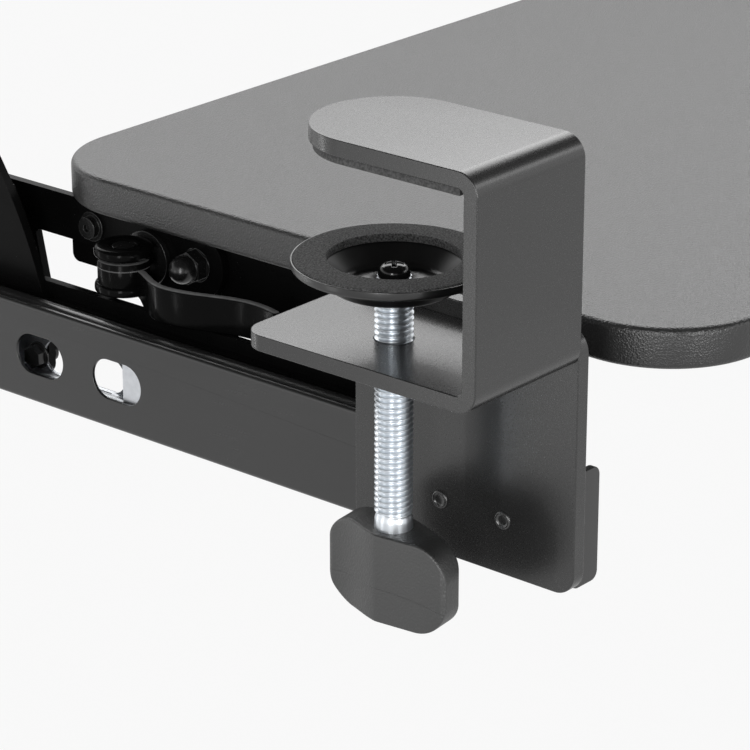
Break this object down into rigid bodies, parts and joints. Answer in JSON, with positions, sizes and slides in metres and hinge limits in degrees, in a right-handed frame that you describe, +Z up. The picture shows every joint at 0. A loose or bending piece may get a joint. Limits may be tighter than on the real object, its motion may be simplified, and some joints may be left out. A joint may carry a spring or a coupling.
{
  "type": "under-desk keyboard tray",
  "caption": "Clamp-on under-desk keyboard tray: board that tilts on two arms, ball-bearing rails and C clamps with screw knobs.",
  "frame": {"origin": "midway between the clamps, on the desk's front edge and level with the desk's top face", "axes": "+X to the user's right, +Y in under the desk, +Z up"},
  "size_m": [0.8224, 0.378, 0.1539],
  "materials": {
    "board_wrap": "wood board under a dark grained wrap",
    "powder_steel": "satin black powder coat",
    "black_rail": "smooth black coat on rolled steel",
    "lever_paint": "semi-gloss black coat on a cast lever",
    "cup_black": "gloss black coat on pressed sheet",
    "black_fastener": "black coated fastener",
    "black_screw": "gloss black screw",
    "zinc_screw": "bright zinc plate",
    "zinc_sheet": "zinc plated sheet",
    "ball_steel": "polished steel",
    "knob_plastic": "fine textured moulding",
    "cap_plastic": "smooth moulding",
    "ring_foam": "closed-cell foam with a speckled face",
    "pad_foam": "closed-cell foam sheet"
  },
  "bodies": {
    "desk_clamps": {"left_clamp": "powder_steel", "right_clamp": "powder_steel", "left_side_plate": "powder_steel", "right_side_plate": "powder_steel", "left_jaw_pad": "pad_foam", "right_jaw_pad": "pad_foam", "left_outer_rail": "black_rail", "right_outer_rail": "black_rail", "left_rail_rivets": "black_rail", "right_rail_rivets": "black_rail"},
    "carriage": {"left_inner_rail": "black_rail", "right_inner_rail": "black_rail", "left_rail_cap": "cap_plastic", "right_rail_cap": "cap_plastic", "left_runner_bracket": "powder_steel", "right_runner_bracket": "powder_steel", "left_arm_foot": "powder_steel", "right_arm_foot": "powder_steel", "left_arm": "powder_steel", "right_arm": "powder_steel", "left_arm_spacers": "black_fastener", "right_arm_spacers": "black_fastener", "left_arm_bolts": "black_fastener", "right_arm_bolts": "black_fastener", "left_pivot_bolt": "black_fastener", "right_pivot_bolt": "black_fastener", "left_cap_nut": "black_fastener", "right_cap_nut": "black_fastener", "left_cam_bolt": "black_fastener", "right_cam_bolt": "black_fastener", "left_cam_washer": "cap_plastic", "right_cam_washer": "cap_plastic", "left_stop_screw": "black_fastener", "right_stop_screw": "black_fastener", "left_runner_screws": "black_fastener", "right_runner_screws": "black_fastener"},
    "tray": {"tray_board": "board_wrap", "tray_screws": "black_fastener", "left_tray_bracket": "powder_steel", "right_tray_bracket": "powder_steel"},
    "left_balls_and_cage": {"left_ball_cage": "zinc_sheet", "left_balls": "ball_steel"},
    "left_cup": {"left_pressure_cup": "cup_black", "left_cup_pad": "ring_foam"},
    "left_screw": {"left_clamp_screw": "zinc_screw", "left_knob": "knob_plastic", "left_cup_screw": "black_screw", "left_lock_washer": "zinc_sheet"},
    "left_lever": {"left_cam_lever": "lever_paint"},
    "right_balls_and_cage": {"right_ball_cage": "zinc_sheet", "right_balls": "ball_steel"},
    "right_cup": {"right_pressure_cup": "cup_black", "right_cup_pad": "ring_foam"},
    "right_screw": {"right_clamp_screw": "zinc_screw", "right_knob": "knob_plastic", "right_cup_screw": "black_screw", "right_lock_washer": "zinc_sheet"},
    "right_lever": {"right_cam_lever": "lever_paint"}
  },
  "joints": [
    {"name": "tray_slide", "type": "slide", "parent": "desk_clamps", "child": "carriage", "axis": [0, -1, 0], "range_m": [0, 0.22]},
    {"name": "tray_tilt", "type": "hinge", "parent": "carriage", "child": "tray", "pos_m": [0, 0.18, -0.0835], "axis": [1, 0, 0], "range_deg": [0, 12]},
    {"name": "left_cage_slide", "type": "slide", "parent": "desk_clamps", "child": "left_balls_and_cage", "axis": [0, -1, 0], "range_m": [0, 0.11]},
    {"name": "left_cup_lift", "type": "slide", "parent": "desk_clamps", "child": "left_cup", "axis": [0, 0, 1], "range_m": [-0.0147, 0.0323]},
    {"name": "left_screw_turn", "type": "hinge", "parent": "left_cup", "child": "left_screw", "pos_m": [-0.38125, 0.0445, -0.033], "axis": [0, 0, 1], "range_deg": [-3030, 6650]},
    {"name": "left_lever_swing", "type": "hinge", "parent": "carriage", "child": "left_lever", "pos_m": [-0.3332, 0.2015, -0.0856], "axis": [0, 0, -1], "range_deg": [0, 90]},
    {"name": "right_cage_slide", "type": "slide", "parent": "desk_clamps", "child": "right_balls_and_cage", "axis": [0, -1, 0], "range_m": [0, 0.11]},
    {"name": "right_cup_lift", "type": "slide", "parent": "desk_clamps", "child": "right_cup", "axis": [0, 0, 1], "range_m": [-0.0147, 0.0323]},
    {"name": "right_screw_turn", "type": "hinge", "parent": "right_cup", "child": "right_screw", "pos_m": [0.38125, 0.0445, -0.033], "axis": [0, 0, 1], "range_deg": [-3030, 6650]},
    {"name": "right_lever_swing", "type": "hinge", "parent": "carriage", "child": "right_lever", "pos_m": [0.3332, 0.2015, -0.0856], "axis": [0, 0, 1], "range_deg": [0, 90]}
  ],
  "couplings": [
    {"joint": "left_cage_slide", "follows": "tray_slide", "ratio": 0.5},
    {"joint": "left_screw_turn", "follows": "left_cup_lift", "rad_per_m": 3590.4},
    {"joint": "right_cage_slide", "follows": "tray_slide", "ratio": 0.5},
    {"joint": "right_screw_turn", "follows": "right_cup_lift", "rad_per_m": 3590.4}
  ]
}
